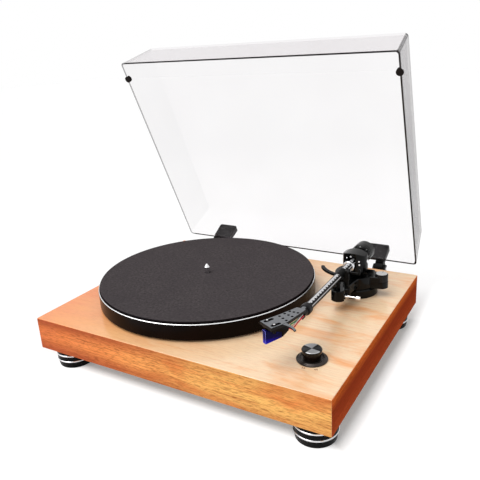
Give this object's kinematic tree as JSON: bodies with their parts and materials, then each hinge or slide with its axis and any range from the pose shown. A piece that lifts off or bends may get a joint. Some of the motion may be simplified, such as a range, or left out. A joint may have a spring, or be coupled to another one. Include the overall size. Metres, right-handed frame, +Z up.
{
  "type": "turntable",
  "caption": "Belt-driven record player: wooden plinth on round feet, felt-topped platter, straight gimballed tonearm at rest, speed knob and clear hinged cover standing open.",
  "frame": {"origin": "on the floor, under the middle of the box round the whole machine with its cover open", "axes": "+X to the right along the plinth's width, +Y to the rear, +Z up along the spindle"},
  "size_m": [0.412, 0.4028, 0.3985],
  "materials": {
    "veneered_wood": "satin lacquer, grain along the width",
    "fibreboard": "dark board",
    "satin_black_metal": "fine satin black",
    "gloss_black_metal": "polished black",
    "polished_metal": "polished",
    "brushed_aluminium": "brushed",
    "cast_aluminium": "as cast",
    "turned_steel": "fine turned",
    "brass": "satin",
    "dark_felt": "short felt",
    "black_rubber": "matte",
    "black_plastic": "fine matte",
    "gloss_black_plastic": "gloss",
    "woven_tube": "lacquered dark weave",
    "light_grey_metal": "fine brushed",
    "blue_plastic": "smooth",
    "clear_plastic": "clear, polished edges",
    "green_board": "lacquered board",
    "white_lead": "thin insulation",
    "red_lead": "thin insulation"
  },
  "bodies": {
    "base": {"plinth": "veneered_wood", "bottom_cover": "fibreboard", "case_screws": "turned_steel", "feet": "satin_black_metal", "foot_rings": "polished_metal", "foot_pads": "black_rubber", "foot_bolts": "turned_steel", "bearing_housing": "brass", "bearing_bush": "brass", "thrust_ball": "polished_metal", "motor": "turned_steel", "drive_belt": "black_rubber", "control_board": "green_board", "speed_switch": "black_plastic", "knob_flange": "gloss_black_metal", "terminal_panel": "black_plastic", "phono_sockets": "brass", "ground_post": "brass", "power_socket": "black_plastic", "arm_base": "gloss_black_metal", "arm_base_nut": "turned_steel", "arm_block": "satin_black_metal", "swing_bearings": "turned_steel", "arm_rest": "black_plastic", "hinge_bracket_left": "black_plastic", "hinge_bracket_right": "black_plastic", "hinge_pins": "turned_steel"},
    "turning_platter": {"platter": "cast_aluminium", "platter_mat": "dark_felt", "spindle": "turned_steel"},
    "motor_drive": {"motor_shaft": "turned_steel", "motor_pulley": "brass"},
    "cover": {"dust_cover": "clear_plastic", "hinge_leaf_left": "black_plastic", "hinge_leaf_right": "black_plastic", "cover_bumpers": "black_rubber"},
    "arm_yoke": {"gimbal_housing": "gloss_black_metal", "swing_shaft": "turned_steel", "tilt_pivots": "turned_steel"},
    "arm": {"gimbal_core": "satin_black_metal", "arm_tube": "woven_tube", "tube_bushing": "polished_metal", "rest_sleeve": "black_rubber", "rear_stub": "turned_steel", "headshell": "light_grey_metal", "cartridge_body": "gloss_black_plastic", "stylus_holder": "blue_plastic", "cartridge_screws": "polished_metal", "left_channel_leads": "white_lead", "right_channel_leads": "red_lead"},
    "headshell_lock": {"locking_ring": "satin_black_metal"},
    "weight_carrier": {"counterweight_insert": "black_plastic"},
    "weight": {"counterweight": "gloss_black_metal"},
    "tracking_force_dial": {"force_dial": "gloss_black_plastic"},
    "side_force_dial": {"anti_skate_dial": "satin_black_metal"},
    "lift_handle": {"cue_lever": "polished_metal"},
    "lift": {"lift_bow": "satin_black_metal"},
    "latch": {"rest_latch": "black_plastic"},
    "knob": {"speed_knob": "gloss_black_metal"},
    "thumb_nut": {"ground_nut": "brass"}
  },
  "joints": [
    {"name": "cover_hinge", "type": "hinge", "parent": "base", "child": "cover", "pos_m": [0, 0.14661, 0.0669], "axis": [-1, 0, 0], "range_deg": [-65.9, 0]},
    {"name": "platter_spin", "type": "hinge", "parent": "base", "child": "turning_platter", "pos_m": [-0.0455, -0.03239, 0.081], "axis": [0, 0, 1], "continuous": true},
    {"name": "pulley_spin", "type": "hinge", "parent": "base", "child": "motor_drive", "pos_m": [-0.12414, -0.08746, 0.076], "axis": [0, 0, 1], "continuous": true},
    {"name": "arm_swing", "type": "hinge", "parent": "base", "child": "arm_yoke", "pos_m": [0.1421, 0.04711, 0.091], "axis": [0, 0, -1], "range_deg": [0, 48]},
    {"name": "arm_tilt", "type": "hinge", "parent": "arm_yoke", "child": "arm", "pos_m": [0.1421, 0.04711, 0.1155], "axis": [-1, 0, 0], "range_deg": [0, 8]},
    {"name": "locking_ring_turn", "type": "hinge", "parent": "arm", "child": "headshell_lock", "pos_m": [0.1421, -0.11519, 0.1155], "axis": [0, 1, 0], "range_deg": [0, 60]},
    {"name": "weight_travel", "type": "slide", "parent": "arm", "child": "weight_carrier", "axis": [0, 1, 0], "range_m": [-0.0005, 0.004]},
    {"name": "weight_turn", "type": "hinge", "parent": "weight_carrier", "child": "weight", "pos_m": [0.1421, 0.07661, 0.1155], "axis": [0, 1, 0], "range_deg": [-100, 730]},
    {"name": "force_dial_turn", "type": "hinge", "parent": "weight", "child": "tracking_force_dial", "pos_m": [0.1421, 0.06661, 0.1155], "axis": [0, 1, 0], "continuous": true},
    {"name": "side_force_dial_turn", "type": "hinge", "parent": "base", "child": "side_force_dial", "pos_m": [0.1784, 0.04661, 0.096], "axis": [0, 0, -1], "range_deg": [0, 270]},
    {"name": "lift_handle_turn", "type": "hinge", "parent": "base", "child": "lift_handle", "pos_m": [0.1475, -0.01639, 0.0906], "axis": [0, 1, 0], "range_deg": [0, 40]},
    {"name": "lift_travel", "type": "slide", "parent": "base", "child": "lift", "axis": [0, 0, 1], "range_m": [-0.0065, 0]},
    {"name": "rest_latch_turn", "type": "hinge", "parent": "base", "child": "latch", "pos_m": [0.1502, -0.00439, 0.1203], "axis": [0, -1, 0], "range_deg": [0, 180]},
    {"name": "knob_turn", "type": "hinge", "parent": "base", "child": "knob", "pos_m": [0.1597, -0.14139, 0.076], "axis": [0, 0, 1], "range_deg": [-80, 0]},
    {"name": "ground_nut_turn", "type": "hinge", "parent": "base", "child": "thumb_nut", "pos_m": [-0.014, 0.13461, 0.049], "axis": [0, 1, 0], "range_deg": [-180, 180]}
  ],
  "couplings": [
    {"joint": "pulley_spin", "follows": "platter_spin", "ratio": 10},
    {"joint": "weight_turn", "follows": "weight_travel", "rad_per_m": 3141.6},
    {"joint": "lift_travel", "follows": "lift_handle_turn", "m_per_rad": -0.0092}
  ]
}
